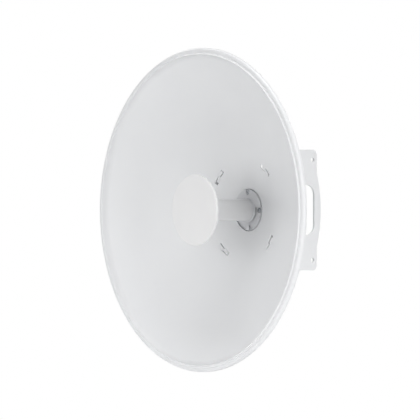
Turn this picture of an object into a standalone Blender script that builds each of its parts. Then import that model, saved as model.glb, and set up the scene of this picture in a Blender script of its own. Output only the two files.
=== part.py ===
"""Point-to-point dish antenna on a two-plate bracket.

Metres, +Z up. The dish looks towards -Y. The world origin lies on the rear face of the
clamp pad on the bracket's web, on the antenna's axis, where a pole clamp bolts on. Every
piece is modelled in the antenna's own frame, which an empty carries: x to the right as seen
from the front, y up and z forward along the axis, with z = 0 at the vertex of the paraboloid.
Sizes are in millimetres.
"""
import math

import bmesh
import bpy
from mathutils import Matrix, Vector

MM = 0.001
GAP = 0.3
SMOOTH_ANGLE = math.radians(35)
MERGE_TURNED = 0.02
MERGE_FLAT = 0.001

# How far one solid runs into another where the two are fused or cut
OVERLAP = 1.0
CUT_MARGIN = 2.0

# Segments round the turned pieces and the holes
SMALL_STEPS = 12
SCREW_STEPS = 16
TUBE_STEPS = 32
HUB_STEPS = 36
CAP_STEPS = 48

# Reflector
FOCAL_LENGTH = 195.0
SHEET = 2.0
BEAD_RADIUS_FROM_AXIS = 313.9
BEAD_ROUNDING = 2.0
BEAD_FRONT = 127.3
CREASE = (317.7, BEAD_FRONT - 1.7)
ROLL_CENTRE = (318.0, BEAD_FRONT - 7.5)
ROLL_RADIUS = 7.0
ROLL_START = 84.0
BEHIND_BEAD = (1.2, 0.6)
CENTRE_HOLE_RADIUS = 42.7
REFLECTOR_STEPS = 64
BOWL_RINGS = 9

# Slots round the feed, wide and then narrow, and the stepped lugs that stand in them.
# Each sector is its inner and outer radius in mm, then its start and end in degrees.
SLOT_WIDE = (100.0, 108.0, 41.5, 50.5)
SLOT_NARROW = (98.8, 106.6, 50.5, 60.0)
SLOT_COUNT = 4
SLOT_CUT = (-10.0, 30.0)
SECTOR_STEPS = 4
LUG_BODY_WIDE = (101.2, 106.8, 42.2, 49.4)
LUG_BODY_NARROW = (99.9, 105.7, 51.2, 57.4)
LUG_BODY_SUNK = -1.2
LUG_HEAD = (101.1, 106.9, 42.1, 49.8)
LUG_PROUD = 1.6
LUG_STOCK_FRONT = 20.0
LUG_SCREW_PLACE = (104.0, 46.0)
LUG_TRIM = (140.0, 7, 40.0)
PLATE_TRIM = (200.0, 8, 20.0)

# Feed
FLANGE_RADIUS = 41.4
FLANGE_FRONT = 5.7
FLANGE_BACK = -2.5
FLANGE_EDGE_ROUNDING = 1.0
NOTCH_WIDTH = 10.0
NOTCH_FLOOR = 2.0
FEED_SCREW_CIRCLE = 35.5
FEED_SCREW_COUNT = 4
FEED_SCREW_HEAD = (4.25, 3.0)
FEED_SCREW_SHANK = (2.0, 15.0)
HEAD_TOP_SHARE = 0.72
HEAD_SIDE_SHARE = 0.55
TUBE_RADIUS = 21.6
TUBE_WALL = 2.5
TUBE_FILLET = 3.0
CAP_RADIUS = 71.4
CAP_FRONT = 143.2
CAP_DEPTH = 5.8
CAP_ROUNDING = 2.4
CAP_SKIN = 2.0
CAP_CHAMFER = 1.0
SUBREFLECTOR_RADIUS = 66.0
SUBREFLECTOR_EDGE = 1.2
SUBREFLECTOR_BOSS = (24.0, 4.0)
SUBREFLECTOR_CONE_SHARE = 0.4

# Hub behind the dish
HUB_SEAT = -4.3
HUB_SEAT_RADIUS = 43.0
HUB_FLANGE_RADIUS = 58.0
HUB_FLANGE = 6.0
HUB_BODY_RADIUS = 46.0
HUB_LIP_RADIUS = 50.0
HUB_LIP_CLEARANCE = 0.2
HUB_LIP_EDGE = 1.0
SEAL_RADII = (24.0, 31.0)
HUB_SCREW_CIRCLE = 52.0
HUB_SCREW_ANGLES = (30.0, 150.0, 210.0, 330.0)
M5_HEAD = (4.6, 3.2)
M5_SHANK = 2.5
M5_DEPTH = 4.8

# Bracket
WEB_REAR = -38.0
WEB_THICKNESS = 4.0
WEB_HALF_HEIGHT = 96.0
WEB_NOTCH = (30.0, 24.0)
WEB_CORNER = 8.0
WEB_FLANGE_HALF_HEIGHT = 46.0
WEB_FLANGE_FRONT = -2.0
CLAMP_PAD = (38.0, 18.0)
CLAMP_PAD_THICKNESS = 6.0
CLAMP_PAD_CORNER = 5.0
CLAMP_HOLES = (28.0, 10.0)
CLAMP_HOLE_RADIUS = 3.4
PLATE_OUTER = 97.0
PLATE_THICKNESS = 5.0
PLATE_HALF_HEIGHT = 121.0
PLATE_REAR = -95.3
PLATE_CORNER = 10.0
PLATE_STOCK_MARGIN = 5.0
BULGE_HEIGHT = 10.0
BULGE_HALF_LENGTH = 73.0
HANDLE_CENTRE = -68.8
HANDLE_HALF_WIDTH = 20.0
HANDLE_HALF_HEIGHT = 50.5
PLATE_HOLE = (11.4, 100.6, 4.4)
SIDE_BOLT_PLACE = (-20.0, 35.0)
SIDE_BOLT_HEAD = (6.0, 3.6)
SIDE_BOLT_SHANK = 3.0
SIDE_NUT = (5.0, 5.0)
SIDE_BOLT_TAIL = 1.5
SIDE_DRILL_LENGTH = 40.0

# Radio connectors
CONNECTOR_PLACE = (20.0, -32.0)
CONNECTOR_RADIUS = 6.0
CONNECTOR_THREAD_RADIUS = 5.2
CONNECTOR_REAR = -62.0
CONNECTOR_FRONT = -20.0
CONNECTOR_NUT = (8.5, 4.0)
CONNECTOR_SOCKET = (3.4, 8.0)
CONNECTOR_SHOULDER = 1.0


# Scene and collections

def clear_scene():
    for item in list(bpy.data.objects):
        bpy.data.objects.remove(item, do_unlink=True)


def new_collection(name):
    collection = bpy.data.collections.new(name)
    bpy.context.scene.collection.children.link(collection)
    return collection


def new_axis(collection):
    """Empty on the antenna's axis at the dish's vertex, its z pointing forward."""
    axis = bpy.data.objects.new("antenna_axis", None)
    axis.location = (0.0, (WEB_REAR - CLAMP_PAD_THICKNESS) * MM, 0.0)
    axis.rotation_euler = (math.radians(90), 0.0, 0.0)
    collection.objects.link(axis)
    return axis


clear_scene()
PARTS = new_collection("dish_antenna")
CUTTERS = new_collection("cutters")
AXIS = new_axis(PARTS)


# Materials

def new_material(name, colour, roughness, metallic):
    material = bpy.data.materials.new(name)
    material.use_nodes = True
    shader = material.node_tree.nodes["Principled BSDF"]
    shader.inputs["Base Color"].default_value = (*colour, 1.0)
    shader.inputs["Roughness"].default_value = roughness
    shader.inputs["Metallic"].default_value = metallic
    return material


WHITE_PAINT = new_material("white_powder_coat", (0.80, 0.80, 0.81), 0.45, 0.0)
WHITE_PLASTIC = new_material("white_plastic", (0.82, 0.82, 0.83), 0.4, 0.0)
GREY_CAST = new_material("painted_casting", (0.62, 0.62, 0.64), 0.5, 0.0)
ZINC = new_material("zinc_plated_steel", (0.45, 0.45, 0.46), 0.35, 1.0)
ALUMINIUM = new_material("aluminium", (0.75, 0.75, 0.76), 0.35, 1.0)
RUBBER = new_material("black_rubber", (0.03, 0.03, 0.03), 0.8, 0.0)
NICKEL = new_material("nickel_plated_brass", (0.6, 0.58, 0.52), 0.3, 1.0)


# Object and mesh helpers

def place(item, collection, location=(0.0, 0.0, 0.0), rotation=(0.0, 0.0, 0.0)):
    """Hang an object on the antenna's axis, with its place in millimetres."""
    collection.objects.link(item)
    item.parent = AXIS
    item.location = Vector(location) * MM
    item.rotation_euler = rotation
    return item


def hide_cutter(item):
    item.hide_render = True
    item.display_type = "WIRE"
    return item


def finish(item, material):
    item.data.materials.clear()
    item.data.materials.append(material)
    item.data.shade_smooth()
    item.data.set_sharp_from_angle(angle=SMOOTH_ANGLE)
    return item


def turned(name, profile, steps, collection=None, location=(0, 0, 0), rotation=(0, 0, 0)):
    """Solid of revolution about z from a closed profile of (radius, z) in millimetres.

    The profile runs down its outer side, from front to back, and returns to its start.
    A point on the axis has radius 0.
    """
    mesh = bpy.data.meshes.new(name)
    points = [(radius * MM, 0.0, z * MM) for radius, z in profile]
    count = len(points)
    on_axis = [radius == 0 for radius, _ in profile]
    edges = []
    for start in range(count):
        end = (start + 1) % count
        if not (on_axis[start] and on_axis[end]):
            edges.append((start, end))
    mesh.from_pydata(points, edges, [])
    item = bpy.data.objects.new(name, mesh)
    screw = item.modifiers.new("turn", "SCREW")
    screw.axis = "Z"
    screw.steps = steps
    screw.render_steps = steps
    screw.use_merge_vertices = True
    screw.merge_threshold = MERGE_TURNED * MM
    return place(item, collection or PARTS, location, rotation)


def extruded(name, outline, back, front, holes=(), collection=None, rotation=(0, 0, 0),
             location=(0, 0, 0)):
    """Flat outline in x and y, with holes, made solid from z = back to z = front."""
    curve = bpy.data.curves.new(name, "CURVE")
    curve.dimensions = "2D"
    curve.fill_mode = "BOTH"
    curve.extrude = 0.5 * (front - back) * MM
    for points in (outline, *holes):
        spline = curve.splines.new("POLY")
        spline.points.add(len(points) - 1)
        for point, (x, y) in zip(spline.points, points):
            point.co = (x * MM, y * MM, 0.0, 1.0)
        spline.use_cyclic_u = True
    source = bpy.data.objects.new(name + "_outline", curve)
    bpy.context.scene.collection.objects.link(source)
    graph = bpy.context.evaluated_depsgraph_get()
    mesh = bpy.data.meshes.new_from_object(source.evaluated_get(graph))
    bpy.data.objects.remove(source, do_unlink=True)
    work = bmesh.new()
    work.from_mesh(mesh)
    bmesh.ops.remove_doubles(work, verts=work.verts, dist=MERGE_FLAT * MM)
    bmesh.ops.translate(work, verts=work.verts, vec=(0.0, 0.0, 0.5 * (front + back) * MM))
    work.to_mesh(mesh)
    work.free()
    mesh.name = name
    item = bpy.data.objects.new(name, mesh)
    return place(item, collection or PARTS, location, rotation)


def drill_bit(name, radius, back, front, x, y, sides=SCREW_STEPS):
    """Round cutter along z from z = back to z = front."""
    mesh = bpy.data.meshes.new(name)
    work = bmesh.new()
    centre = Matrix.Translation((0.0, 0.0, 0.5 * (front + back) * MM))
    bmesh.ops.create_cone(work, cap_ends=True, segments=sides, radius1=radius * MM,
                          radius2=radius * MM, depth=(front - back) * MM, matrix=centre)
    work.to_mesh(mesh)
    work.free()
    item = bpy.data.objects.new(name, mesh)
    return place(item, CUTTERS, (x, y, 0.0))


def cut(item, cutter):
    """Take a cutter away from a piece."""
    hide_cutter(cutter)
    boolean = item.modifiers.new(cutter.name, "BOOLEAN")
    boolean.operation = "DIFFERENCE"
    boolean.solver = "EXACT"
    boolean.object = cutter
    return item


def join(item, other):
    """Fuse a second shape into a piece; the second shape is then only a guide."""
    hide_cutter(other)
    boolean = item.modifiers.new(other.name, "BOOLEAN")
    boolean.operation = "UNION"
    boolean.solver = "EXACT"
    boolean.object = other
    return item


# Outline helpers

def arc(centre, radius, start, end, count):
    """Points on an arc, with its angles in degrees."""
    x, y = centre
    points = []
    for index in range(count + 1):
        angle = math.radians(start + (end - start) * index / count)
        points.append((x + radius * math.cos(angle), y + radius * math.sin(angle)))
    return points


def circle(centre, radius, count):
    return arc(centre, radius, 0, 360, count)[:-1]


def hexagon(centre, half_width):
    return circle(centre, half_width / math.cos(math.radians(30)), 6)


def rotated(points, degrees):
    """Points turned about the antenna's axis."""
    cosine = math.cos(math.radians(degrees))
    sine = math.sin(math.radians(degrees))
    return [(x * cosine - y * sine, x * sine + y * cosine) for x, y in points]


def bowl_height(radius):
    """Distance of the reflecting surface ahead of its vertex."""
    return radius * radius / (4 * FOCAL_LENGTH)


def bowl_back(radius, clearance):
    """Point behind the bowl at this radius, off along the surface's normal."""
    slope = radius / (2 * FOCAL_LENGTH)
    length = math.hypot(1.0, slope)
    distance = SHEET + clearance
    return (radius + slope * distance / length, bowl_height(radius) - distance / length)


# Reflector

def reflector_profile():
    """Closed section of the sheet, from the rolled edge inwards behind, then back in front."""
    bead_start = BEAD_RADIUS_FROM_AXIS - BEAD_ROUNDING
    bead_centre = (BEAD_RADIUS_FROM_AXIS, BEAD_FRONT - BEAD_ROUNDING)
    step = (bead_start - CENTRE_HOLE_RADIUS) / BOWL_RINGS
    radii = [CENTRE_HOLE_RADIUS + step * index for index in range(BOWL_RINGS + 1)]
    roll_outside = arc(ROLL_CENTRE, ROLL_RADIUS, ROLL_START, -90, 6)
    roll_inside = arc(ROLL_CENTRE, ROLL_RADIUS - SHEET, -90, 45, 3)
    behind_bead = (CREASE[0] - BEHIND_BEAD[0], CREASE[1] - SHEET - BEHIND_BEAD[1])
    back = [bowl_back(radius, 0.0) for radius in reversed(radii[1:])]
    hole_edge = [(CENTRE_HOLE_RADIUS, bowl_back(CENTRE_HOLE_RADIUS, 0.0)[1])]
    front = [(radius, bowl_height(radius)) for radius in radii]
    bead = arc(bead_centre, BEAD_ROUNDING, 150, 20, 3)
    return roll_outside + roll_inside + [behind_bead] + back + hole_edge + front + bead + [CREASE]


def sector(inner, outer, start, end):
    """Outline of a piece of a ring round the antenna's axis."""
    centre = (0.0, 0.0)
    outside = arc(centre, outer, start, end, SECTOR_STEPS)
    return outside + arc(centre, inner, end, start, SECTOR_STEPS)


def stepped(wide, narrow):
    """Outline of a wide sector that runs on into a narrow one."""
    outline = sector(*wide)
    half = len(outline) // 2
    return outline[:half] + sector(*narrow) + outline[half:]


def quarter_turns():
    return [(index + 1, index * 90.0) for index in range(SLOT_COUNT)]


def make_reflector():
    item = turned("reflector", reflector_profile(), REFLECTOR_STEPS)
    for number, angle in quarter_turns():
        outline = rotated(stepped(SLOT_WIDE, SLOT_NARROW), angle)
        name = "slot_cutter_%d" % number
        cut(item, extruded(name, outline, *SLOT_CUT, collection=CUTTERS))
    return finish(item, WHITE_PAINT)


# Solids that trim other pieces to the bowl's shape

def front_of_bowl(name, offset):
    """Everything in front of the bowl's surface moved forward by an offset."""
    widest, rings, height = LUG_TRIM
    radii = [widest * index / rings for index in range(rings + 1)]
    bowl = [(radius, bowl_height(radius) + offset) for radius in radii]
    far = bowl[-1][1] + height
    profile = [(0.0, far), (radii[-1], far)] + bowl[::-1]
    return turned(name, profile, REFLECTOR_STEPS, CUTTERS)


def bowl_clearance(name):
    """Everything in front of the dish's back, with the usual gap."""
    widest, rings, height = PLATE_TRIM
    radii = [widest * index / rings for index in range(rings + 1)]
    back = [bowl_back(radius, GAP) for radius in radii]
    far = back[-1][1] + height
    profile = [(0.0, far), (back[-1][0], far)] + back[::-1]
    return turned(name, profile, REFLECTOR_STEPS, CUTTERS)


# Locking lugs

def make_locking_lugs():
    """Body in the whole slot, a little below the bowl, with a proud head in the wide part."""
    web_front = WEB_REAR + WEB_THICKNESS
    body_trim = front_of_bowl("lug_body_cutter", LUG_BODY_SUNK)
    head_trim = front_of_bowl("lug_head_cutter", LUG_PROUD)
    for number, angle in quarter_turns():
        name = "locking_lug_%d" % number
        body = rotated(stepped(LUG_BODY_WIDE, LUG_BODY_NARROW), angle)
        item = extruded(name, body, web_front + GAP, LUG_STOCK_FRONT)
        cut(item, body_trim)
        block = rotated(sector(*LUG_HEAD), angle)
        head = extruded(name + "_head", block, web_front + GAP, LUG_STOCK_FRONT,
                        collection=CUTTERS)
        cut(head, head_trim)
        join(item, head)
        x, y = lug_screw_place(angle)
        depth = web_front + M5_DEPTH + 2 * GAP
        cut(item, drill_bit("lug_drill_%d" % number, M5_SHANK + GAP, web_front - OVERLAP,
                            depth, x, y))
        finish(item, WHITE_PAINT)


def lug_screw_place(angle):
    radius, start = LUG_SCREW_PLACE
    return rotated([(radius, 0.0)], angle + start)[0]


# Screws

def screw_profile(head, shank_radius, length, under_head):
    """Pan head and plain shank; the head's seat is at z = under_head."""
    radius, height = head
    top = under_head + height
    side_top = under_head + height * HEAD_SIDE_SHARE
    crown = [(0.0, top), (radius * HEAD_TOP_SHARE, top), (radius, side_top)]
    shank = [(radius, under_head), (shank_radius, under_head)]
    end = [(shank_radius, under_head - length), (0.0, under_head - length)]
    return crown + shank + end


def make_feed_screws():
    seat = NOTCH_FLOOR + GAP
    profile = screw_profile(FEED_SCREW_HEAD, FEED_SCREW_SHANK[0], FEED_SCREW_SHANK[1], seat)
    for index in range(FEED_SCREW_COUNT):
        x, y = rotated([(FEED_SCREW_CIRCLE, 0.0)], 90.0 * index)[0]
        item = turned("feed_screw_%d" % (index + 1), profile, SCREW_STEPS,
                      location=(x, y, 0.0))
        finish(item, ZINC)


def rear_screw(name, x, y):
    """Screw driven forward through the web, its head on the web's rear face."""
    seat = -(WEB_REAR - GAP)
    length = WEB_THICKNESS + M5_DEPTH
    profile = screw_profile(M5_HEAD, M5_SHANK, length, seat)
    turn_round = (0.0, math.pi, 0.0)
    item = turned(name, profile, SMALL_STEPS, location=(x, y, 0.0), rotation=turn_round)
    return finish(item, ZINC)


def hub_screw_places():
    return [rotated([(HUB_SCREW_CIRCLE, 0.0)], angle)[0] for angle in HUB_SCREW_ANGLES]


def make_rear_screws():
    for number, (x, y) in enumerate(hub_screw_places(), 1):
        rear_screw("hub_screw_%d" % number, x, y)
    for number, angle in quarter_turns():
        x, y = lug_screw_place(angle)
        rear_screw("lug_screw_%d" % number, x, y)


# Feed

def make_feed_flange():
    edge = FLANGE_EDGE_ROUNDING
    rounding = arc((FLANGE_RADIUS - edge, FLANGE_FRONT - edge), edge, 90, 0, 3)
    fillet_centre = (TUBE_RADIUS + TUBE_FILLET, FLANGE_FRONT + TUBE_FILLET)
    fillet = arc(fillet_centre, TUBE_FILLET, 180, 270, 4)
    collar_inner = TUBE_RADIUS + GAP
    fillet[0] = (collar_inner, fillet[0][1])
    bore = [(0.0, FLANGE_FRONT), (collar_inner, FLANGE_FRONT)]
    profile = bore + fillet + rounding + [(FLANGE_RADIUS, FLANGE_BACK), (0.0, FLANGE_BACK)]
    item = turned("feed_flange", profile, HUB_STEPS)
    for index in range(FEED_SCREW_COUNT):
        angle = 90.0 * index
        half = 0.5 * NOTCH_WIDTH
        notch = arc((FEED_SCREW_CIRCLE, 0.0), half, 90, 270, 8)
        outside = FLANGE_RADIUS + CUT_MARGIN
        notch += [(outside, -half), (outside, half)]
        name = "notch_cutter_%d" % (index + 1)
        cutter = extruded(name, rotated(notch, angle), NOTCH_FLOOR,
                          FLANGE_FRONT + CUT_MARGIN, collection=CUTTERS)
        cut(item, cutter)
        x, y = rotated([(FEED_SCREW_CIRCLE, 0.0)], angle)[0]
        cut(item, drill_bit("flange_drill_%d" % (index + 1), FEED_SCREW_SHANK[0] + GAP,
                            FLANGE_BACK - CUT_MARGIN, NOTCH_FLOOR + CUT_MARGIN, x, y))
    return finish(item, GREY_CAST)


def boss_back():
    """Rear end of the sub-reflector's boss, where the tube stops."""
    plate_front = CAP_FRONT - CAP_SKIN - GAP
    return plate_front - SUBREFLECTOR_EDGE - SUBREFLECTOR_BOSS[1]


def make_feed_tube():
    front = boss_back() - GAP
    back = FLANGE_FRONT + GAP
    inner = TUBE_RADIUS - TUBE_WALL
    profile = [(TUBE_RADIUS, front), (TUBE_RADIUS, back), (inner, back), (inner, front)]
    return finish(turned("feed_tube", profile, TUBE_STEPS), WHITE_PLASTIC)


def make_subreflector():
    """Metal disc whose back is a shallow cone down to the boss on the tube."""
    front = CAP_FRONT - CAP_SKIN - GAP
    radius = SUBREFLECTOR_RADIUS
    boss, height = SUBREFLECTOR_BOSS
    edge = front - SUBREFLECTOR_EDGE
    profile = [(0.0, front), (radius, front), (radius, edge),
               (boss, edge - SUBREFLECTOR_CONE_SHARE * height), (boss, edge - height),
               (0.0, edge - height)]
    return finish(turned("subreflector", profile, HUB_STEPS), ALUMINIUM)


def make_subreflector_cover():
    rounding = arc((CAP_RADIUS - CAP_ROUNDING, CAP_FRONT - CAP_ROUNDING), CAP_ROUNDING, 90, 0, 4)
    back = CAP_FRONT - CAP_DEPTH
    inner = SUBREFLECTOR_RADIUS + GAP
    floor = CAP_FRONT - CAP_SKIN
    skirt = [(CAP_RADIUS, back + CAP_CHAMFER), (CAP_RADIUS - CAP_CHAMFER, back), (inner, back),
             (inner, floor)]
    profile = [(0.0, CAP_FRONT)] + rounding + skirt + [(0.0, floor)]
    return finish(turned("subreflector_cover", profile, CAP_STEPS), WHITE_PLASTIC)


# Hub

def make_feed_hub():
    web_front = WEB_REAR + WEB_THICKNESS
    rear = web_front + GAP
    lip = []
    for radius in (HUB_SEAT_RADIUS, HUB_LIP_RADIUS, HUB_FLANGE_RADIUS):
        lip.append((radius, bowl_back(radius, GAP)[1] - HUB_LIP_CLEARANCE))
    seat = [(0.0, HUB_SEAT), (HUB_SEAT_RADIUS, HUB_SEAT)]
    waist = [(HUB_FLANGE_RADIUS, HUB_SEAT - HUB_LIP_EDGE), (HUB_BODY_RADIUS, HUB_SEAT - HUB_FLANGE),
             (HUB_BODY_RADIUS, rear + HUB_FLANGE), (HUB_FLANGE_RADIUS, rear + HUB_FLANGE)]
    profile = seat + lip + waist + [(HUB_FLANGE_RADIUS, rear), (0.0, rear)]
    item = turned("feed_hub", profile, HUB_STEPS)
    drill_holes_in_hub(item, rear)
    return finish(item, GREY_CAST)


def drill_holes_in_hub(item, rear):
    seat = NOTCH_FLOOR + GAP
    for index in range(FEED_SCREW_COUNT):
        x, y = rotated([(FEED_SCREW_CIRCLE, 0.0)], 90.0 * index)[0]
        depth = seat - FEED_SCREW_SHANK[1] - GAP
        cut(item, drill_bit("hub_tapping_%d" % (index + 1), FEED_SCREW_SHANK[0] + GAP, depth,
                            HUB_SEAT + CUT_MARGIN, x, y, SMALL_STEPS))
    for number, (x, y) in enumerate(hub_screw_places(), 1):
        cut(item, drill_bit("hub_drill_%d" % number, M5_SHANK + GAP, rear - CUT_MARGIN,
                            rear + M5_DEPTH + GAP, x, y, SMALL_STEPS))
    for number, side in enumerate((-1, 1), 1):
        x, y = CONNECTOR_PLACE
        cut(item, drill_bit("connector_bore_%d" % number, CONNECTOR_RADIUS + GAP,
                            rear - CUT_MARGIN, CONNECTOR_FRONT + GAP, side * x, y))


def make_feed_seal():
    inner, outer = SEAL_RADII
    front = FLANGE_BACK - GAP
    back = HUB_SEAT + GAP
    profile = [(outer, front), (outer, back), (inner, back), (inner, front)]
    return finish(turned("feed_seal", profile, TUBE_STEPS), RUBBER)


# Bracket

def web_outline():
    """Plate with a shallow relief in the middle of its top and its bottom edge."""
    half_width = PLATE_OUTER - PLATE_THICKNESS - GAP
    relief, depth = WEB_NOTCH
    top = WEB_HALF_HEIGHT
    low = top - depth
    corner = WEB_CORNER
    quarter = arc((half_width - corner, top - corner), corner, 0, 90, 4)
    quarter += arc((relief + corner, top - corner), corner, 90, 180, 4)
    quarter += [(relief, low + corner)]
    quarter += arc((relief - corner, low + corner), corner, 0, -90, 4)[1:]
    left = [(-x, y) for x, y in reversed(quarter)]
    upper = quarter + left
    lower = [(x, -y) for x, y in reversed(upper)]
    return upper + lower


def make_bracket_web():
    """Cross plate with a flange folded forward along each side plate."""
    front = WEB_REAR + WEB_THICKNESS
    places = hub_screw_places() + [lug_screw_place(angle) for _, angle in quarter_turns()]
    holes = [circle(place_of, M5_SHANK + GAP, SMALL_STEPS) for place_of in places]
    x, y = CONNECTOR_PLACE
    holes += [circle((side * x, y), CONNECTOR_RADIUS + GAP, SCREW_STEPS)
              for side in (-1, 1)]
    item = extruded("bracket_web", web_outline(), WEB_REAR, front, holes)
    outer = PLATE_OUTER - PLATE_THICKNESS - GAP
    for name, side in (("left", -1), ("right", 1)):
        inner_edge = side * (outer - WEB_THICKNESS)
        outline = [(inner_edge, -WEB_FLANGE_HALF_HEIGHT), (side * outer, -WEB_FLANGE_HALF_HEIGHT),
                   (side * outer, WEB_FLANGE_HALF_HEIGHT), (inner_edge, WEB_FLANGE_HALF_HEIGHT)]
        flange = extruded("web_flange_" + name, outline, front - OVERLAP, WEB_FLANGE_FRONT,
                          collection=CUTTERS)
        join(item, flange)
    join(item, make_clamp_pad_guide())
    x, y = CLAMP_HOLES
    behind = WEB_REAR - CLAMP_PAD_THICKNESS - CUT_MARGIN
    for number, (side, level) in enumerate(corner_signs(), 1):
        cut(item, drill_bit("clamp_tapping_%d" % number, CLAMP_HOLE_RADIUS, behind,
                            front + CUT_MARGIN, side * x, level * y))
    for number, (side, level) in enumerate(corner_signs(), 1):
        drill = cross_rod("web_side_drill_%d" % number, side, level, SIDE_BOLT_SHANK + GAP)
        cut(item, drill)
    return finish(item, WHITE_PAINT)


def make_clamp_pad_guide():
    """Raised pad behind the web, which carries the clamp face and stands clear of the screws."""
    corner = CLAMP_PAD_CORNER
    x, y = CLAMP_PAD
    quarter = arc((x - corner, y - corner), corner, 0, 90, 4)
    upper = quarter + [(-px, py) for px, py in reversed(quarter)]
    outline = upper + [(px, -py) for px, py in reversed(upper)]
    return extruded("clamp_pad", outline, WEB_REAR - CLAMP_PAD_THICKNESS, WEB_REAR + OVERLAP,
                    collection=CUTTERS)


def corner_signs():
    return [(side, level) for side in (-1, 1) for level in (-1, 1)]


def cross_rod(name, side, level, radius):
    """Drill across a side plate and the web's flange at a side bolt's place."""
    z, y = SIDE_BOLT_PLACE
    mesh = bpy.data.meshes.new(name)
    work = bmesh.new()
    bmesh.ops.create_cone(work, cap_ends=True, segments=SMALL_STEPS, radius1=radius * MM,
                          radius2=radius * MM, depth=SIDE_DRILL_LENGTH * MM)
    work.to_mesh(mesh)
    work.free()
    item = bpy.data.objects.new(name, mesh)
    centre = (side * (PLATE_OUTER - PLATE_THICKNESS), level * y, z)
    return place(item, CUTTERS, centre, (0.0, math.radians(90), 0.0))


def plate_outline():
    """Side plate seen from the side: x of the outline is the depth z, y is the height."""
    bulge_radius = (BULGE_HALF_LENGTH ** 2 + BULGE_HEIGHT ** 2) / (2 * BULGE_HEIGHT)
    half_angle = math.degrees(math.asin(BULGE_HALF_LENGTH / bulge_radius))
    bulge_centre = (PLATE_REAR - BULGE_HEIGHT + bulge_radius, 0.0)
    bulge = arc(bulge_centre, bulge_radius, 180 - half_angle, 180 + half_angle, 12)
    corner = PLATE_CORNER
    top = arc((PLATE_REAR + corner, PLATE_HALF_HEIGHT - corner), corner, 90, 180, 5)
    bottom = [(x, -y) for x, y in reversed(top)]
    front = bowl_height(PLATE_OUTER + PLATE_HALF_HEIGHT) + PLATE_STOCK_MARGIN
    return [(front, PLATE_HALF_HEIGHT)] + top + bulge + bottom + [(front, -PLATE_HALF_HEIGHT)]


def handle_outline():
    """Obround grip slot that runs up and down."""
    radius = HANDLE_HALF_WIDTH
    level = HANDLE_HALF_HEIGHT - radius
    upper = arc((HANDLE_CENTRE, level), radius, 0, 180, 10)
    lower = arc((HANDLE_CENTRE, -level), radius, 180, 360, 10)
    return upper + lower


def make_side_plate(name, side, clearance):
    inset, level, radius = PLATE_HOLE
    holes = [handle_outline()]
    holes += [circle((PLATE_REAR + inset, sign * level), radius, SCREW_STEPS)
              for sign in (-1, 1)]
    half = 0.5 * PLATE_THICKNESS
    middle = side * (PLATE_OUTER - half)
    item = extruded(name, plate_outline(), -half, half, holes, location=(middle, 0, 0),
                    rotation=(0.0, -math.radians(90), 0.0))
    cut(item, clearance)
    for number, level_sign in enumerate((-1, 1), 1):
        drill = cross_rod("%s_drill_%d" % (name, number), side, level_sign,
                          SIDE_BOLT_SHANK + GAP)
        cut(item, drill)
    return finish(item, WHITE_PAINT)


def make_side_bolts():
    """Bolts through each side plate and the web's flange, with a hexagon nut inside."""
    z, y = SIDE_BOLT_PLACE
    nut_half, nut_height = SIDE_NUT
    grip = PLATE_THICKNESS + WEB_THICKNESS + 3 * GAP
    length = grip + nut_height + SIDE_BOLT_TAIL
    profile = screw_profile(SIDE_BOLT_HEAD, SIDE_BOLT_SHANK, length, GAP)
    for number, (side, level) in enumerate(corner_signs(), 1):
        outward = (0.0, side * math.radians(90), 0.0)
        seat = (side * PLATE_OUTER, level * y, z)
        finish(turned("side_bolt_%d" % number, profile, SMALL_STEPS, location=seat,
                      rotation=outward), ZINC)
        nut = extruded("side_nut_%d" % number, hexagon((0, 0), nut_half), -grip - nut_height,
                       -grip, [circle((0, 0), SIDE_BOLT_SHANK + GAP, SMALL_STEPS)],
                       location=seat, rotation=outward)
        finish(nut, ZINC)


# Radio connectors

def make_connectors():
    x, y = CONNECTOR_PLACE
    half_width, height = CONNECTOR_NUT
    socket_radius, socket_depth = CONNECTOR_SOCKET
    shoulder = WEB_REAR - 2 * GAP - height - CONNECTOR_SHOULDER
    floor = CONNECTOR_REAR + socket_depth
    profile = [(0.0, CONNECTOR_FRONT), (CONNECTOR_RADIUS, CONNECTOR_FRONT),
               (CONNECTOR_RADIUS, shoulder), (CONNECTOR_THREAD_RADIUS, shoulder),
               (CONNECTOR_THREAD_RADIUS, CONNECTOR_REAR), (socket_radius, CONNECTOR_REAR),
               (socket_radius, floor), (0.0, floor)]
    for name, side in (("left", -1), ("right", 1)):
        item = turned("rf_connector_" + name, profile, SCREW_STEPS, location=(side * x, y, 0.0))
        finish(item, NICKEL)
        rear_face = WEB_REAR - GAP
        nut = extruded("rf_nut_" + name, hexagon((0, 0), half_width), rear_face - height,
                       rear_face, [circle((0, 0), CONNECTOR_RADIUS + GAP, SCREW_STEPS)],
                       location=(side * x, y, 0.0))
        finish(nut, NICKEL)


# Assembly

def main():
    plate_trim = bowl_clearance("plate_front_cutter")
    make_reflector()
    make_feed_flange()
    make_feed_screws()
    make_feed_tube()
    make_subreflector()
    make_subreflector_cover()
    make_feed_hub()
    make_feed_seal()
    make_locking_lugs()
    make_bracket_web()
    make_side_plate("side_plate_left", -1, plate_trim)
    make_side_plate("side_plate_right", 1, plate_trim)
    make_side_bolts()
    make_rear_screws()
    make_connectors()


main()
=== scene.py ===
"""Looks of a point-to-point dish antenna on its two-plate bracket.

Lengths are in millimetres in the antenna's own frame: x to the right as seen from the front,
y up and z forward along the axis, with z = 0 at the vertex of the dish. The last step of each
piece turns them to metres in the world, where the dish looks towards -Y.
"""

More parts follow.
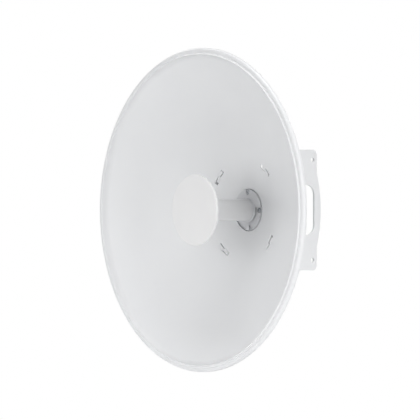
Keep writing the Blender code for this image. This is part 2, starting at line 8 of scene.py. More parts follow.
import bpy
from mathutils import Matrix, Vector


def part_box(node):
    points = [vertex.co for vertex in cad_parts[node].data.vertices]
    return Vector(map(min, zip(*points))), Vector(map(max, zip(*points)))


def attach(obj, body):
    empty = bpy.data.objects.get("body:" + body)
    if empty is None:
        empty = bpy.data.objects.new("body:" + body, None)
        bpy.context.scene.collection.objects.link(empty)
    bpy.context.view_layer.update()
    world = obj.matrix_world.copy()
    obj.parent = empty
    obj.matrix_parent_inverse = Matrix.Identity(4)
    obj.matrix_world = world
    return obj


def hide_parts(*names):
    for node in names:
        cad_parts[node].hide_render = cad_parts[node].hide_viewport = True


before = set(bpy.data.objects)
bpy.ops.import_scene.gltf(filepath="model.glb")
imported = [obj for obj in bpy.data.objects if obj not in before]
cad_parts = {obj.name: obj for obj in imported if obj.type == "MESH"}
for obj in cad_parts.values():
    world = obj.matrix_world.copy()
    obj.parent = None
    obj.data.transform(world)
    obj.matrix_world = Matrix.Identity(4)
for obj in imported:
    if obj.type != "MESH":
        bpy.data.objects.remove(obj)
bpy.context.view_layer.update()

import logging
import math
from dataclasses import dataclass, field
from enum import Enum
from typing import Callable

import bmesh
import bpy
import numpy as np
from mathutils import Vector
from mathutils.geometry import tessellate_polygon

LOG = logging.getLogger("dish_antenna")
MM = 0.001
BODY = "root"
CLAMP_TO_VERTEX = 44.0
WELD = 0.003
GAP = 0.3

Lift = Callable[[np.ndarray], np.ndarray]


class Slot(Enum):
    """Names of the record's material slots, one kept with each finish."""

    POWDER_COAT = "white_powder_coat"
    CASTING = "painted_casting"
    ZINC = "zinc_plated_steel"
    PLASTIC = "white_plastic"
    ALUMINIUM = "aluminium"
    RUBBER = "black_rubber"
    NICKEL = "nickel_plated_brass"


# Materials


def linear(hex_colour: str) -> tuple[float, float, float, float]:
    """Turns an sRGB hex colour to linear light.

    Args:
        hex_colour: six hex digits, such as "e8e9ea".

    Returns:
        Red, green, blue and 1 for alpha.
    """
    srgb = np.array([int(hex_colour[i:i + 2], 16) for i in (0, 2, 4)]) / 255.0
    light = np.where(srgb <= 0.04045, srgb / 12.92, ((srgb + 0.055) / 1.055) ** 2.4)
    return (float(light[0]), float(light[1]), float(light[2]), 1.0)


def per_metre(size_mm: float) -> float:
    """Texture scale whose features are about this many millimetres apart."""
    return 1.0 / (size_mm * MM)


def add_node(tree: bpy.types.NodeTree, kind: str, settings: dict | None = None,
             inputs: dict | None = None) -> bpy.types.Node:
    """Adds a node with its settings, values and links.

    Args:
        tree: the material's node tree.
        kind: the node's type name.
        settings: attributes to set on the node.
        inputs: by input name or number, an output socket to link or a value to set.

    Returns:
        The new node.
    """
    node = tree.nodes.new(kind)
    for name, value in (settings or {}).items():
        setattr(node, name, value)
    for name, value in (inputs or {}).items():
        if isinstance(value, bpy.types.NodeSocket):
            tree.links.new(value, node.inputs[name])
        else:
            node.inputs[name].default_value = value
    return node


@dataclass(frozen=True)
class Finish:
    """A surface: its colours, gloss and the fine relief that its making leaves.

    The relief is a noise whose features are `grain` mm apart and `depth` mm deep. A slower
    noise, `cloud` mm across, moves the colour from `colour` towards `shade` and the roughness
    by `unevenness` either way.
    """

    name: str
    slot: Slot
    colour: str
    shade: str
    roughness: float
    unevenness: float
    grain: float
    depth: float
    cloud: float = 60.0
    metallic: float = 0.0
    ior: float = 1.5
    grain_detail: float = 2.0

    def shader(self, tree: bpy.types.NodeTree, relief: bpy.types.NodeSocket,
               tone: bpy.types.NodeSocket) -> None:
        """Builds the shader from a height in millimetres and a tone from 0 to 1.

        Args:
            tree: the material's node tree.
            relief: height of the surface in units of the relief's depth.
            tone: where to stand between the colour and its shade.
        """
        colour = add_node(tree, "ShaderNodeMix", {"data_type": "RGBA"},
                          {"Factor": tone, 6: linear(self.colour), 7: linear(self.shade)})
        gloss = add_node(tree, "ShaderNodeMapRange", None, {
            "Value": tone, "To Min": self.roughness - self.unevenness,
            "To Max": self.roughness + self.unevenness})
        bump = add_node(tree, "ShaderNodeBump", None, {
            "Strength": 1.0, "Distance": self.depth * MM, "Height": relief})
        body = add_node(tree, "ShaderNodeBsdfPrincipled", None, {
            "Base Color": colour.outputs[2], "Roughness": gloss.outputs["Result"],
            "Metallic": self.metallic, "Normal": bump.outputs["Normal"]})
        if not self.metallic:
            body.inputs["IOR"].default_value = self.ior
        add_node(tree, "ShaderNodeOutputMaterial", None, {"Surface": body.outputs["BSDF"]})

    def relief(self, tree: bpy.types.NodeTree, place: bpy.types.NodeSocket
               ) -> bpy.types.NodeSocket:
        """Height of the fine relief: one noise at the grain's size."""
        noise = add_node(tree, "ShaderNodeTexNoise", None, {
            "Vector": place, "Scale": per_metre(self.grain), "Detail": self.grain_detail,
            "Roughness": 0.45})
        return noise.outputs["Fac"]

    def material(self) -> bpy.types.Material:
        """The finish as a material, made once and kept by its name."""
        ready = bpy.data.materials.get(self.name)
        if ready:
            return ready
        material = bpy.data.materials.new(self.name)
        material.use_nodes = True
        tree = material.node_tree
        tree.nodes.clear()
        place = add_node(tree, "ShaderNodeTexCoord").outputs["Object"]
        cloud = add_node(tree, "ShaderNodeTexNoise", None, {
            "Vector": place, "Scale": per_metre(self.cloud), "Detail": 3.0, "Roughness": 0.5})
        self.shader(tree, self.relief(tree, place), cloud.outputs["Fac"])
        return material


@dataclass(frozen=True)
class TurnedFinish(Finish):
    """A finish with the fine rings that a lathe or a spinning tool leaves round the y axis."""

    ring: float = 0.8

    def relief(self, tree: bpy.types.NodeTree, place: bpy.types.NodeSocket
               ) -> bpy.types.NodeSocket:
        """Rings round the antenna's axis, a ring's width apart, broken up by the grain."""
        grain = super().relief(tree, place)
        rings = add_node(tree, "ShaderNodeTexWave", {
            "wave_type": "RINGS", "rings_direction": "Y", "wave_profile": "SIN"}, {
            "Vector": place, "Scale": per_metre(self.ring) / 20.0, "Distortion": 0.4,
            "Detail": 1.0, "Detail Scale": 2.0})
        both = add_node(tree, "ShaderNodeMath", {"operation": "MULTIPLY_ADD"}, {
            0: rings.outputs["Fac"], 1: 0.6, 2: grain})
        return both.outputs["Value"]


# Polyester powder coat on sheet steel, sprayed and baked: a satin white with a faint orange
# peel about 2 mm across, drawn a little coarser than real so that it shows.
POWDER_COAT = Finish("polyester_powder_coat", Slot.POWDER_COAT, "e9eaeb", "e5e6e8",
                     roughness=0.40, unevenness=0.04, grain=2.2, depth=0.03, cloud=90.0)

# ASA plastic, injection moulded in a finely eroded mould: matt, even, with a sandy touch.
MOULDED_ASA = Finish("moulded_asa_plastic", Slot.PLASTIC, "ebebeb", "e7e7e8",
                     roughness=0.38, unevenness=0.03, grain=0.7, depth=0.02, cloud=50.0, ior=1.49)

# Die-cast aluminium under two coats of paint: the casting's skin shows as a soft grain.
PAINTED_CASTING = Finish("painted_die_casting", Slot.CASTING, "dfe0e2", "d8d9dc",
                         roughness=0.45, unevenness=0.05, grain=1.2, depth=0.05, cloud=30.0)

# Steel screws, zinc plated and passivated: a dull blue-grey metal with cloudy gloss.
ZINC_PLATE = Finish("zinc_plate", Slot.ZINC, "c3c6ca", "a9adb2", roughness=0.42,
                    unevenness=0.08, grain=0.5, depth=0.012, cloud=4.0, metallic=1.0)

# Brass connectors under satin nickel: warmer and glossier than the zinc.
SATIN_NICKEL = Finish("satin_nickel", Slot.NICKEL, "c9c3b6", "b6afa1", roughness=0.28,
                      unevenness=0.05, grain=0.4, depth=0.008, cloud=5.0, metallic=1.0)

# Aluminium disc spun on a lathe: bright, with tool rings round the axis.
SPUN_ALUMINIUM = TurnedFinish("spun_aluminium", Slot.ALUMINIUM, "c8cacc", "bcbec1",
                              roughness=0.32, unevenness=0.05, grain=0.6, depth=0.02,
                              cloud=25.0, metallic=1.0, ring=0.9)

# EPDM rubber, moulded: nearly black, matt, slightly bloomed; this near-black is painted shade where it shows
# in the gap round the feed flange.
RUBBER_PAINTED_GAP_SHADE = Finish("rubber_painted_gap_shade", Slot.RUBBER, "1d1d1e", "262627", roughness=0.75,
                     unevenness=0.06, grain=0.8, depth=0.03, cloud=12.0, ior=1.52)

# Studio floor of painted board: pale and matt.
FLOOR_BOARD = Finish("pale_painted_board", Slot.POWDER_COAT, "f4f4f4", "f0f0f0",
                     roughness=0.8, unevenness=0.05, grain=6.0, depth=0.05, cloud=400.0)


# Surfaces


@dataclass
class Patch:
    """Part of a surface: points (n, 3) in the antenna's frame and faces of one size."""

    points: np.ndarray
    faces: np.ndarray


def grid(points: np.ndarray, wrap_rows: bool = False, wrap_columns: bool = True,
         keep: np.ndarray | None = None) -> Patch:
    """Lays quads over a grid of points.

    Cell (i, j) joins the points (i, j), (i, j+1), (i+1, j+1) and (i+1, j).

    Args:
        points: array (rows, columns, 3).
        wrap_rows: join the last row to the first.
        wrap_columns: join the last column to the first.
        keep: which cells to lay, all of them if not given.

    Returns:
        The patch.
    """
    rows, columns = points.shape[:2]
    i = np.arange(rows if wrap_rows else rows - 1)[:, None]
    j = np.arange(columns if wrap_columns else columns - 1)[None, :]
    down = (i + 1) % rows
    right = (j + 1) % columns
    corners = (i * columns + j, i * columns + right, down * columns + right, down * columns + j)
    quads = np.stack(np.broadcast_arrays(*corners), axis=-1)
    chosen = quads.reshape(-1, 4) if keep is None else quads[keep]
    return Patch(points.reshape(-1, 3), chosen)


def even_angles(count: int) -> np.ndarray:
    """Angles in radians, spread evenly over one turn."""
    return np.arange(count) * (2 * math.pi / count)


def turn(profile: np.ndarray, angles: np.ndarray) -> np.ndarray:
    """Points of a surface of revolution: (r cos a, r sin a, z) for each (r, z) and angle a.

    Args:
        profile: array (n, 2) of radius and z.
        angles: array (m,) in radians.

    Returns:
        Array (n, m, 3).
    """
    radius, z = profile[:, :1], profile[:, 1:]
    return np.stack((radius * np.cos(angles), radius * np.sin(angles),
                     z + 0.0 * angles), axis=-1)


def turned(corners: list[tuple[float, float, float]], columns: int,
           steps: int = 5) -> Patch:
    """Closed ring or solid of revolution from a section with rounded corners.

    Args:
        corners: (radius, z, rounding) round the section; a radius of 0 is on the axis.
        columns: number of columns round the axis.
        steps: steps in each rounded corner.

    Returns:
        The patch, closed where the section is.
    """
    return grid(turn(rounded(corners, steps), even_angles(columns)), wrap_rows=True)


def corner_arc(corner: np.ndarray, before: np.ndarray, after: np.ndarray, radius: float,
               steps: int) -> np.ndarray:
    """Arc that rounds one corner, with a support point on each side of it.

    The arc touches both sides at radius / tan(half the corner's angle) from the corner.
    A point of the arc is centre + s cos t + q sin t, where s points to the arc's start and
    q is at right angles to s, towards its end.

    Args:
        corner: the corner's place.
        before: vector from the corner back along the side before it.
        after: vector from the corner along the side after it.
        radius: the rounding.
        steps: number of steps.

    Returns:
        Array (steps + 3, 2).
    """
    first = before / np.linalg.norm(before)
    last = after / np.linalg.norm(after)
    half = 0.5 * math.acos(float(np.clip(first @ last, -1.0, 1.0)))
    reach = radius / math.tan(half)
    middle = first + last
    centre = corner + middle / np.linalg.norm(middle) * radius / math.sin(half)
    start = corner + first * reach - centre
    end = corner + last * reach - centre
    sweep = math.pi - 2 * half
    square = (end - start * math.cos(sweep)) / math.sin(sweep)
    t = np.linspace(0.0, sweep, steps + 1)[:, None]
    arc = centre + start * np.cos(t) + square * np.sin(t)
    support = 0.2 * radius
    ahead = corner + first * (reach + support)
    behind = corner + last * (reach + support)
    return np.vstack((ahead, arc, behind))


def rounded(corners: list[tuple[float, float, float]], steps: int = 5) -> np.ndarray:
    """Closed polygon in a plane whose corners are arcs.

    Args:
        corners: (u, v, radius) of each corner; a radius of 0 leaves it sharp.
        steps: steps in each arc.

    Returns:
        Array (n, 2).
    """
    places = np.array([corner[:2] for corner in corners], dtype=float)
    pieces = []
    for index, (_, _, radius) in enumerate(corners):
        here = places[index]
        if radius <= 0:
            pieces.append(here[None, :])
            continue
        following = places[(index + 1) % len(corners)]
        pieces.append(corner_arc(here, places[index - 1] - here, following - here, radius, steps))
    return np.vstack(pieces)


def arc_points(centre: tuple[float, float], radius: float, start: float, end: float,
               count: int) -> np.ndarray:
    """Points on an arc: centre + radius (cos a, sin a), with a in degrees from start to end."""
    a = np.radians(np.linspace(start, end, count + 1))
    return np.stack((centre[0] + radius * np.cos(a), centre[1] + radius * np.sin(a)), axis=-1)


def circle(centre: tuple[float, float], radius: float, count: int = 32) -> np.ndarray:
    """Closed circle of count points."""
    return arc_points(centre, radius, 0.0, 360.0, count)[:-1]


def spun(points: np.ndarray, degrees: float) -> np.ndarray:
    """Plane points turned about the antenna's axis."""
    a = math.radians(degrees)
    matrix = np.array(((math.cos(a), math.sin(a)), (-math.sin(a), math.cos(a))))
    return points @ matrix


def wound(loop: np.ndarray, counter_clockwise: bool) -> np.ndarray:
    """A loop in the wanted direction, told from its signed area."""
    ahead = np.roll(loop, -1, axis=0)
    area = np.sum(loop[:, 0] * ahead[:, 1] - ahead[:, 0] * loop[:, 1])
    return loop if (area > 0) == counter_clockwise else loop[::-1]


def mitres(loop: np.ndarray) -> np.ndarray:
    """Outward vectors that move a loop's corners so that its sides move by one.

    With n1 and n2 the unit normals of the sides before and after a corner, the vector is
    (n1 + n2) / (1 + n1 . n2).

    Args:
        loop: array (n, 2), material on its left.

    Returns:
        Array (n, 2).
    """
    along = np.roll(loop, -1, axis=0) - loop
    along /= np.linalg.norm(along, axis=1)[:, None]
    after = np.stack((along[:, 1], -along[:, 0]), axis=-1)
    before = np.roll(after, 1, axis=0)
    return (before + after) / (1.0 + np.sum(before * after, axis=1))[:, None]


def edge_section(back: float, front: float, rounding: float, steps: int) -> np.ndarray:
    """Section of a plate's edge as (inset, height), from the back face to the front face.

    A quarter circle joins each face to the wall, and a support point lies on each face.
    """
    t = np.radians(np.linspace(0.0, 90.0, steps + 1))
    inset = rounding * (1 - np.sin(t))
    lower = np.stack((inset, back + rounding * (1 - np.cos(t))), axis=-1)
    upper = np.stack((inset[::-1], front - rounding * (1 - np.cos(t[::-1]))), axis=-1)
    support = 1.3 * rounding
    return np.vstack(((support, back), lower, upper, (support, front)))


def plate(outline: np.ndarray, holes: list[np.ndarray], back: float, front: float,
          rounding: float, lift: Lift, steps: int = 4) -> list[Patch]:
    """Flat solid with rounded edges.

    The edge's section is carried along the outline and round each hole, off along the loop's
    mitres, and the two faces are filled between the last rows.

    Args:
        outline: closed loop in the plate's plane.
        holes: closed loops inside it.
        back: height of the back face.
        front: height of the front face.
        rounding: radius of the edges.
        lift: turns the plate's own (u, v, height) into the antenna's frame.
        steps: steps in each quarter circle.

    Returns:
        The patches of one closed solid.
    """
    section = edge_section(back, front, rounding, steps)
    patches = []
    rims: list[list[np.ndarray]] = [[], []]
    for index, loop in enumerate((outline, *holes)):
        loop = wound(loop, counter_clockwise=index == 0)
        flat = loop[None, :, :] - section[:, :1, None] * mitres(loop)[None, :, :]
        height = np.broadcast_to(section[:, 1:, None], (*flat.shape[:2], 1))
        points = np.concatenate((flat, height), axis=-1)
        patches.append(grid(lift(points.reshape(-1, 3)).reshape(points.shape)))
        rims[0].append(points[0])
        rims[1].append(points[-1])
    for rim in rims:
        triangles = tessellate_polygon([[Vector(point) for point in loop] for loop in rim])
        patches.append(Patch(lift(np.concatenate(rim)), np.array(triangles)))
    return patches


def facing(centre: tuple[float, float, float], axis: str, sign: float = 1.0) -> Lift:
    """Lift whose height runs along an axis of the antenna from a centre.

    Args:
        centre: where (0, 0, 0) goes.
        axis: "x" or "z".
        sign: -1 makes the height run the other way.

    Returns:
        A function from (u, v, height) to (x, y, z).
    """
    def lift(points: np.ndarray) -> np.ndarray:
        u, v, height = points[:, 0], points[:, 1], sign * points[:, 2]
        moved = (height, v, -u * sign) if axis == "x" else (u * sign, v, height)
        return np.stack(moved, axis=-1) + np.array(centre)
    return lift


def lifted(patch: Patch, lift: Lift) -> Patch:
    """A patch with its points moved by a lift."""
    return Patch(lift(patch.points), patch.faces)


def make_object(name: str, patches: list[Patch], sharp: float = 35.0) -> bpy.types.Object:
    """One closed mesh object at the origin, its place in its mesh.

    A point (x, y, z) in millimetres goes to (x, -z - 44, y) in the world. Doubles are merged,
    and the faces are made to point outwards.

    Args:
        name: the object's name.
        patches: the surface.
        sharp: edges that turn by more degrees than this are sharp.

    Returns:
        The object, linked to the scene.
    """
    points = np.concatenate([patch.points for patch in patches])
    world = np.stack((points[:, 0], -points[:, 2] - CLAMP_TO_VERTEX, points[:, 1]), axis=-1) * MM
    starts = np.cumsum([0] + [len(patch.points) for patch in patches])
    faces = [face for patch, start in zip(patches, starts) for face in (patch.faces + start).tolist()]
    mesh = bpy.data.meshes.new(name)
    mesh.from_pydata(world.tolist(), [], faces)
    work = bmesh.new()
    work.from_mesh(mesh)
    bmesh.ops.remove_doubles(work, verts=work.verts, dist=WELD * MM)
    bmesh.ops.recalc_face_normals(work, faces=work.faces)
    if work.calc_volume(signed=True) < 0:
        bmesh.ops.reverse_faces(work, faces=work.faces)
    work.to_mesh(mesh)
    work.free()
    mesh.shade_smooth()
    mesh.set_sharp_from_angle(angle=math.radians(sharp))
    item = bpy.data.objects.new(name, mesh)
    bpy.context.scene.collection.objects.link(item)
    return item


def add_piece(node: str, patches: list[Patch], finish: Finish,
              sharp: float = 35.0) -> bpy.types.Object:
    """Makes a detailed piece in place of a CAD node and dresses it.

    Args:
        node: the CAD node that the piece stands for.
        patches: its surface.
        finish: its finish.
        sharp: see make_object.

    Returns:
        The piece.
    """
    item = make_object("detailed_" + node, patches, sharp)
    item.data.materials.append(finish.material())
    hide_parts(node)
    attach(item, BODY)
    own = np.array([item.bound_box[0], item.bound_box[6]])
    drift = np.abs(own - np.array(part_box(node))).max() / MM
    LOG.info("%s: %d faces, %.2f mm from its node's box", item.name, len(item.data.polygons), drift)
    return item


# Sub-assemblies


@dataclass(frozen=True)
class Bowl:
    """The paraboloid of the dish, a sheet of even thickness."""

    focal_length: float = 195.0
    sheet: float = 2.0

    def front(self, radius: np.ndarray) -> np.ndarray:
        """Height of the reflecting face: radius squared over four focal lengths."""
        return radius ** 2 / (4 * self.focal_length)

    def back(self, radius: np.ndarray, clearance: float = 0.0) -> np.ndarray:
        """Height of the back: the front less the sheet's thickness along the axis.

        That thickness is the sheet's own times the root of one plus the slope squared.
        """
        slope = radius / (2 * self.focal_length)
        return self.front(radius) - (self.sheet + clearance) * np.sqrt(1 + slope ** 2)


Sector = tuple[float, float, float, float]


def sector_outline(inner: float, outer: float, start: float, end: float) -> np.ndarray:
    """Outline of a piece of a ring, between two radii in mm and two angles in degrees."""
    origin = (0.0, 0.0)
    return np.vstack((arc_points(origin, outer, start, end, 6),
                      arc_points(origin, inner, end, start, 6)))


def stepped_outline(wide: Sector, narrow: Sector) -> np.ndarray:
    """Outline of a wide sector that runs on into a narrow one."""
    outline = sector_outline(*wide)
    half = len(outline) // 2
    return np.vstack((outline[:half], sector_outline(*narrow), outline[half:]))


@dataclass(frozen=True)
class SlotShape:
    """A locking slot near the hub, wide and then narrow, and the lug that stands in it.

    Each part is (inner radius, outer radius, start, end). The lug's body is a little below
    the bowl's face, and its head in the wide part is proud of it.
    """

    wide: Sector = (100.0, 108.0, 41.5, 50.5)
    narrow: Sector = (98.8, 106.6, 50.5, 60.0)
    body_wide: Sector = (101.2, 106.8, 42.2, 49.4)
    body_narrow: Sector = (99.9, 105.7, 51.2, 57.4)
    head: Sector = (101.1, 106.9, 42.1, 49.8)
    sunk: float = -1.2
    proud: float = 1.6
    screw: tuple[float, float] = (104.0, 46.0)


@dataclass
class Reflector:
    """The pressed dish: bowl, raised bead, groove, crown and turned hem, with four slots.

    The bead is (radius, top, rounding), and the groove's bottom and the crown's top are
    (radius, height). The hem is a box section, open towards the axis: (inner radius, outer
    radius, back, front).
    """

    bowl: Bowl
    slot: SlotShape
    hole_radius: float = 42.7
    bead: tuple[float, float, float] = (312.7, 128.0, 1.4)
    groove: tuple[float, float] = (315.3, 124.4)
    crown: tuple[float, float] = (319.0, 125.2)
    hem: tuple[float, float, float, float] = (318.6, 325.0, 114.6, 124.2)
    columns: int = 288

    def radii(self) -> np.ndarray:
        """Radii of the rows on the bowl, with the slots' edges among them."""
        edges = np.array(self.slot.wide[:2] + self.slot.narrow[:2])
        inner = np.linspace(self.hole_radius, 96.0, 7)
        outer = np.linspace(112.0, self.bead[0] - self.bead[2], 22)
        return np.unique(np.concatenate((inner, edges, outer)))

    def angles(self) -> np.ndarray:
        """Angles of the columns in radians, with the slots' ends among them."""
        ends = np.unique(self.slot.wide[2:] + self.slot.narrow[2:])
        marks = (ends[None, :] + 90.0 * np.arange(4)[:, None]).ravel()
        even = np.degrees(even_angles(self.columns))
        clear = np.abs(even[:, None] - marks[None, :]).min(axis=1) > 0.45
        return np.radians(np.unique(np.concatenate((even[clear], marks))))

    def rim(self) -> np.ndarray:
        """Section of the edge: over the bead, through the groove and round the hem."""
        radius, top, size = self.bead
        over = arc_points((radius, top - size), size, 150, 15, 10)
        inner, outer, back, front = self.hem
        sheet = self.bowl.sheet
        dip, dip_height = self.groove
        crown, crown_height = self.crown
        corners = [(*over[-1], 0.0), (dip, dip_height, 0.8), (crown, crown_height, 3.0),
                   (outer, front, 4.5), (outer, back, 3.0), (inner, back, 0.8),
                   (inner, back + sheet, 0.8), (outer - sheet, back + sheet, 1.0),
                   (outer - sheet, front - sheet, 2.0), (crown, crown_height - sheet, 0.0),
                   (dip, dip_height - sheet, 0.0)]
        return np.vstack((over[:-1], rounded(corners)))

    def slot_cells(self, radii: np.ndarray, angles: np.ndarray) -> np.ndarray:
        """Which cells of the bowl's grid lie in a slot, from the middle of each cell."""
        radius = 0.5 * (radii[1:] + radii[:-1])[:, None]
        middle = 0.5 * (angles + np.append(angles[1:], 2 * math.pi + angles[0]))
        degrees = np.degrees(middle)[None, :] % 90.0
        inside = np.zeros((len(radii) - 1, len(angles)), dtype=bool)
        for low, high, start, end in (self.slot.wide, self.slot.narrow):
            inside |= (radius > low) & (radius < high) & (degrees > start) & (degrees < end)
        return inside

    def slot_walls(self, front: np.ndarray, back: np.ndarray, inside: np.ndarray) -> Patch:
        """Walls of the slots: a quad from front to back along each edge of the slots' cells."""
        i, j = np.nonzero(inside[1:] != inside[:-1])
        following = (j + 1) % front.shape[1]
        along = np.stack((front[i + 1, j], front[i + 1, following],
                          back[i + 1, following], back[i + 1, j]), axis=1)
        k, m = np.nonzero(inside != np.roll(inside, 1, axis=1))
        across = np.stack((front[k, m], front[k + 1, m], back[k + 1, m], back[k, m]), axis=1)
        points = np.concatenate((along, across)).reshape(-1, 3)
        return Patch(points, np.arange(len(points)).reshape(-1, 4))

    def build(self) -> None:
        """Front, rim and back as one closed sheet, with the slots left out."""
        radii, angles = self.radii(), self.angles()
        face = np.stack((radii, self.bowl.front(radii)), axis=-1)
        behind = np.stack((radii, self.bowl.back(radii)), axis=-1)
        section = np.vstack((face, self.rim(), behind[::-1]))
        points = turn(section, angles)
        inside = self.slot_cells(radii, angles)
        keep = np.ones((len(section), len(angles)), dtype=bool)
        rows = len(radii)
        keep[:rows - 1] = ~inside
        keep[len(section) - rows:len(section) - 1] = ~inside[::-1]
        walls = self.slot_walls(turn(face, angles), turn(behind, angles), inside)
        item = add_piece("reflector", [grid(points, wrap_rows=True, keep=keep), walls],
                         POWDER_COAT, sharp=50.0)
        edge = item.modifiers.new("pressed_edges", "BEVEL")
        edge.width = 0.35 * MM
        edge.segments = 2
        edge.limit_method = "ANGLE"
        edge.angle_limit = math.radians(60)


@dataclass
class Fastener:
    """A pan-head screw with a six-lobed socket."""

    head_radius: float
    head_height: float
    shank: float
    length: float
    socket: float

    def screw(self, lift: Lift) -> list[Patch]:
        """Screw along its own height, its seat at 0 and its head above.

        Rows of the socket have the radius r (1 + 0.14 cos 6a); the crown is a quarter
        ellipse from the socket's rim to the head's side.
        """
        radius, height = self.head_radius, self.head_height
        floor = 0.35 * height
        a = np.radians(np.linspace(80, 0, 7))
        lip = self.socket * 1.3
        crown = np.stack((lip + (radius - lip) * np.cos(a),
                          0.45 * height + 0.55 * height * np.sin(a), 0 * a), axis=-1)
        rows = np.vstack((
            (0.0, floor, 0.0), (self.socket * 0.8, floor, 0.14), (self.socket * 0.92, floor + 0.1, 0.14),
            (self.socket, floor + 0.4, 0.14), (self.socket, height - 0.25, 0.14),
            (self.socket * 1.1, height - 0.03, 0.1), (lip, height, 0.03), crown,
            (radius, 0.2, 0.0), (radius - 0.2, 0.0, 0.0), (self.shank, 0.0, 0.0),
            (self.shank, 0.4 - self.length, 0.0), (self.shank - 0.4, -self.length, 0.0),
            (0.0, -self.length, 0.0)))
        angles = even_angles(48)
        radii = rows[:, :1] * (1 + rows[:, 2:] * np.cos(6 * angles))
        points = np.stack((radii * np.cos(angles), radii * np.sin(angles),
                           rows[:, 1:2] + 0.0 * angles), axis=-1)
        return [lifted(grid(points), lift)]


def hexagon_nut(half_width: float, height: float, bore: float, lift: Lift) -> list[Patch]:
    """Hexagon nut from height 0 up, with chamfered corners and bore.

    The side's radius is half_width / cos(a), with a the angle from the nearest flat, and
    near each end it is no more than the chamfer cone's.

    Args:
        half_width: half the width across flats.
        height: the nut's height.
        bore: radius of its hole.
        lift: places it.

    Returns:
        The patches.
    """
    angles = even_angles(72)
    from_flat = (np.degrees(angles) + 30.0) % 60.0 - 30.0
    hexagon = half_width / np.cos(np.radians(from_flat))
    corner = half_width / math.cos(math.radians(30))
    levels = np.array((0.0, 0.25, 0.5, 0.8, height - 0.8, height - 0.5, height - 0.25, height))
    inward = np.maximum(0.8 - np.minimum(levels, height - levels), 0.0) * 1.6
    side = np.minimum(hexagon[None, :], (corner + 0.05 - inward)[:, None])
    inner = np.array(((bore + 0.4, height), (bore, height - 0.4), (bore, 0.4), (bore + 0.4, 0.0)))
    radii = np.vstack((side, np.broadcast_to(inner[:, :1], (4, len(angles)))))
    heights = np.concatenate((levels, inner[:, 1]))[:, None]
    points = np.stack((radii * np.cos(angles), radii * np.sin(angles), heights + 0.0 * angles), axis=-1)
    return [lifted(grid(points, wrap_rows=True), lift)]


@dataclass
class Feed:
    """Feed in front of the dish: notched flange, screws, tube, sub-reflector and its cover."""

    flange_radius: float = 41.4
    flange_front: float = 5.7
    flange_back: float = -2.5
    notch_half: float = 5.0
    notch_floor: float = 2.0
    screw_circle: float = 35.5
    tube_radius: float = 21.6
    tube_wall: float = 2.5
    fillet: float = 3.0
    cap_radius: float = 71.4
    cap_front: float = 143.2
    cap_depth: float = 5.8
    cap_rounding: float = 2.4
    cap_skin: float = 2.0
    disc_radius: float = 66.0
    disc_edge: float = 1.2
    boss: tuple[float, float] = (24.0, 4.0)

    def flange_outline(self) -> np.ndarray:
        """Circle with four notches, open outwards, each with a round inner end."""
        half = math.degrees(math.asin(self.notch_half / self.flange_radius))
        quarter = np.vstack((
            arc_points((self.screw_circle, 0.0), self.notch_half, 270, 90, 16),
            rounded_lip(self.flange_radius, self.notch_half),
            arc_points((0.0, 0.0), self.flange_radius, half + 1.5, 90 - half - 1.5, 26)))
        return np.vstack([spun(quarter, 90.0 * index) for index in range(4)])

    def build_flange(self) -> None:
        """Casting in three closed parts that run into each other: base, notched disc, collar."""
        upright = facing((0.0, 0.0, 0.0), "z")
        bore = self.tube_radius + GAP
        base = turned([(0.0, self.notch_floor, 0.0), (self.flange_radius, self.notch_floor, 0.4),
                       (self.flange_radius, self.flange_back, 0.6), (0.0, self.flange_back, 0.0)], 96)
        disc = plate(self.flange_outline(), [], self.notch_floor - 0.8, self.flange_front, 0.7, upright)
        size = self.fillet
        hollow = arc_points((bore + size, self.flange_front + size - 0.03), size, 180, 270, 10)
        collar = np.vstack(((bore, self.flange_front - 0.5), hollow, (hollow[-1, 0], self.flange_front - 0.5)))
        ring = grid(turn(collar, even_angles(64)), wrap_rows=True)
        add_piece("feed_flange", [base, *disc, ring], PAINTED_CASTING)

    def build_screws(self) -> None:
        """One pan-head screw in each notch."""
        screw = Fastener(4.25, 3.0, 2.0, 15.0, 1.6)
        for index in range(4):
            x, y = spun(np.array((self.screw_circle, 0.0)), 90.0 * index)
            lift = facing((x, y, self.notch_floor + GAP), "z")
            add_piece("feed_screw_%d" % (index + 1), screw.screw(lift), ZINC_PLATE)

    def build_tube(self) -> None:
        """Round tube from the flange to the sub-reflector's boss."""
        plane = self.cap_front - self.cap_skin - GAP - self.disc_edge - self.boss[1]
        front, back = plane - GAP, self.flange_front + GAP
        inner = self.tube_radius - self.tube_wall
        section = [(self.tube_radius, front, 0.6), (self.tube_radius, back, 0.4),
                   (inner, back, 0.4), (inner, front, 0.6)]
        add_piece("feed_tube", [turned(section, 96)], MOULDED_ASA)

    def build_subreflector(self) -> None:
        """Spun disc, its back a shallow cone down to the boss."""
        front = self.cap_front - self.cap_skin - GAP
        edge = front - self.disc_edge
        boss, height = self.boss
        section = [(0.0, front, 0.0), (self.disc_radius, front, 0.3), (self.disc_radius, edge, 0.3),
                   (boss + 6.0, edge - 0.3 * height, 3.0), (boss, edge - 0.45 * height, 1.0),
                   (boss, edge - height, 0.5), (0.0, edge - height, 0.0)]
        add_piece("subreflector", [turned(section, 128)], SPUN_ALUMINIUM)

    def build_cover(self) -> None:
        """Moulded cover: flat face, rounded edge and a short skirt round the disc."""
        front, back = self.cap_front, self.cap_front - self.cap_depth
        inner, floor = self.disc_radius + GAP, front - self.cap_skin
        section = [(0.0, front, 0.0), (self.cap_radius, front, self.cap_rounding),
                   (self.cap_radius, back, 0.9), (inner, back, 0.6), (inner, floor, 0.5),
                   (0.0, floor, 0.0)]
        add_piece("subreflector_cover", [turned(section, 160, steps=8)], MOULDED_ASA)

    def build(self) -> None:
        """All pieces of the feed in front of the dish."""
        self.build_flange()
        self.build_screws()
        self.build_tube()
        self.build_subreflector()
        self.build_cover()


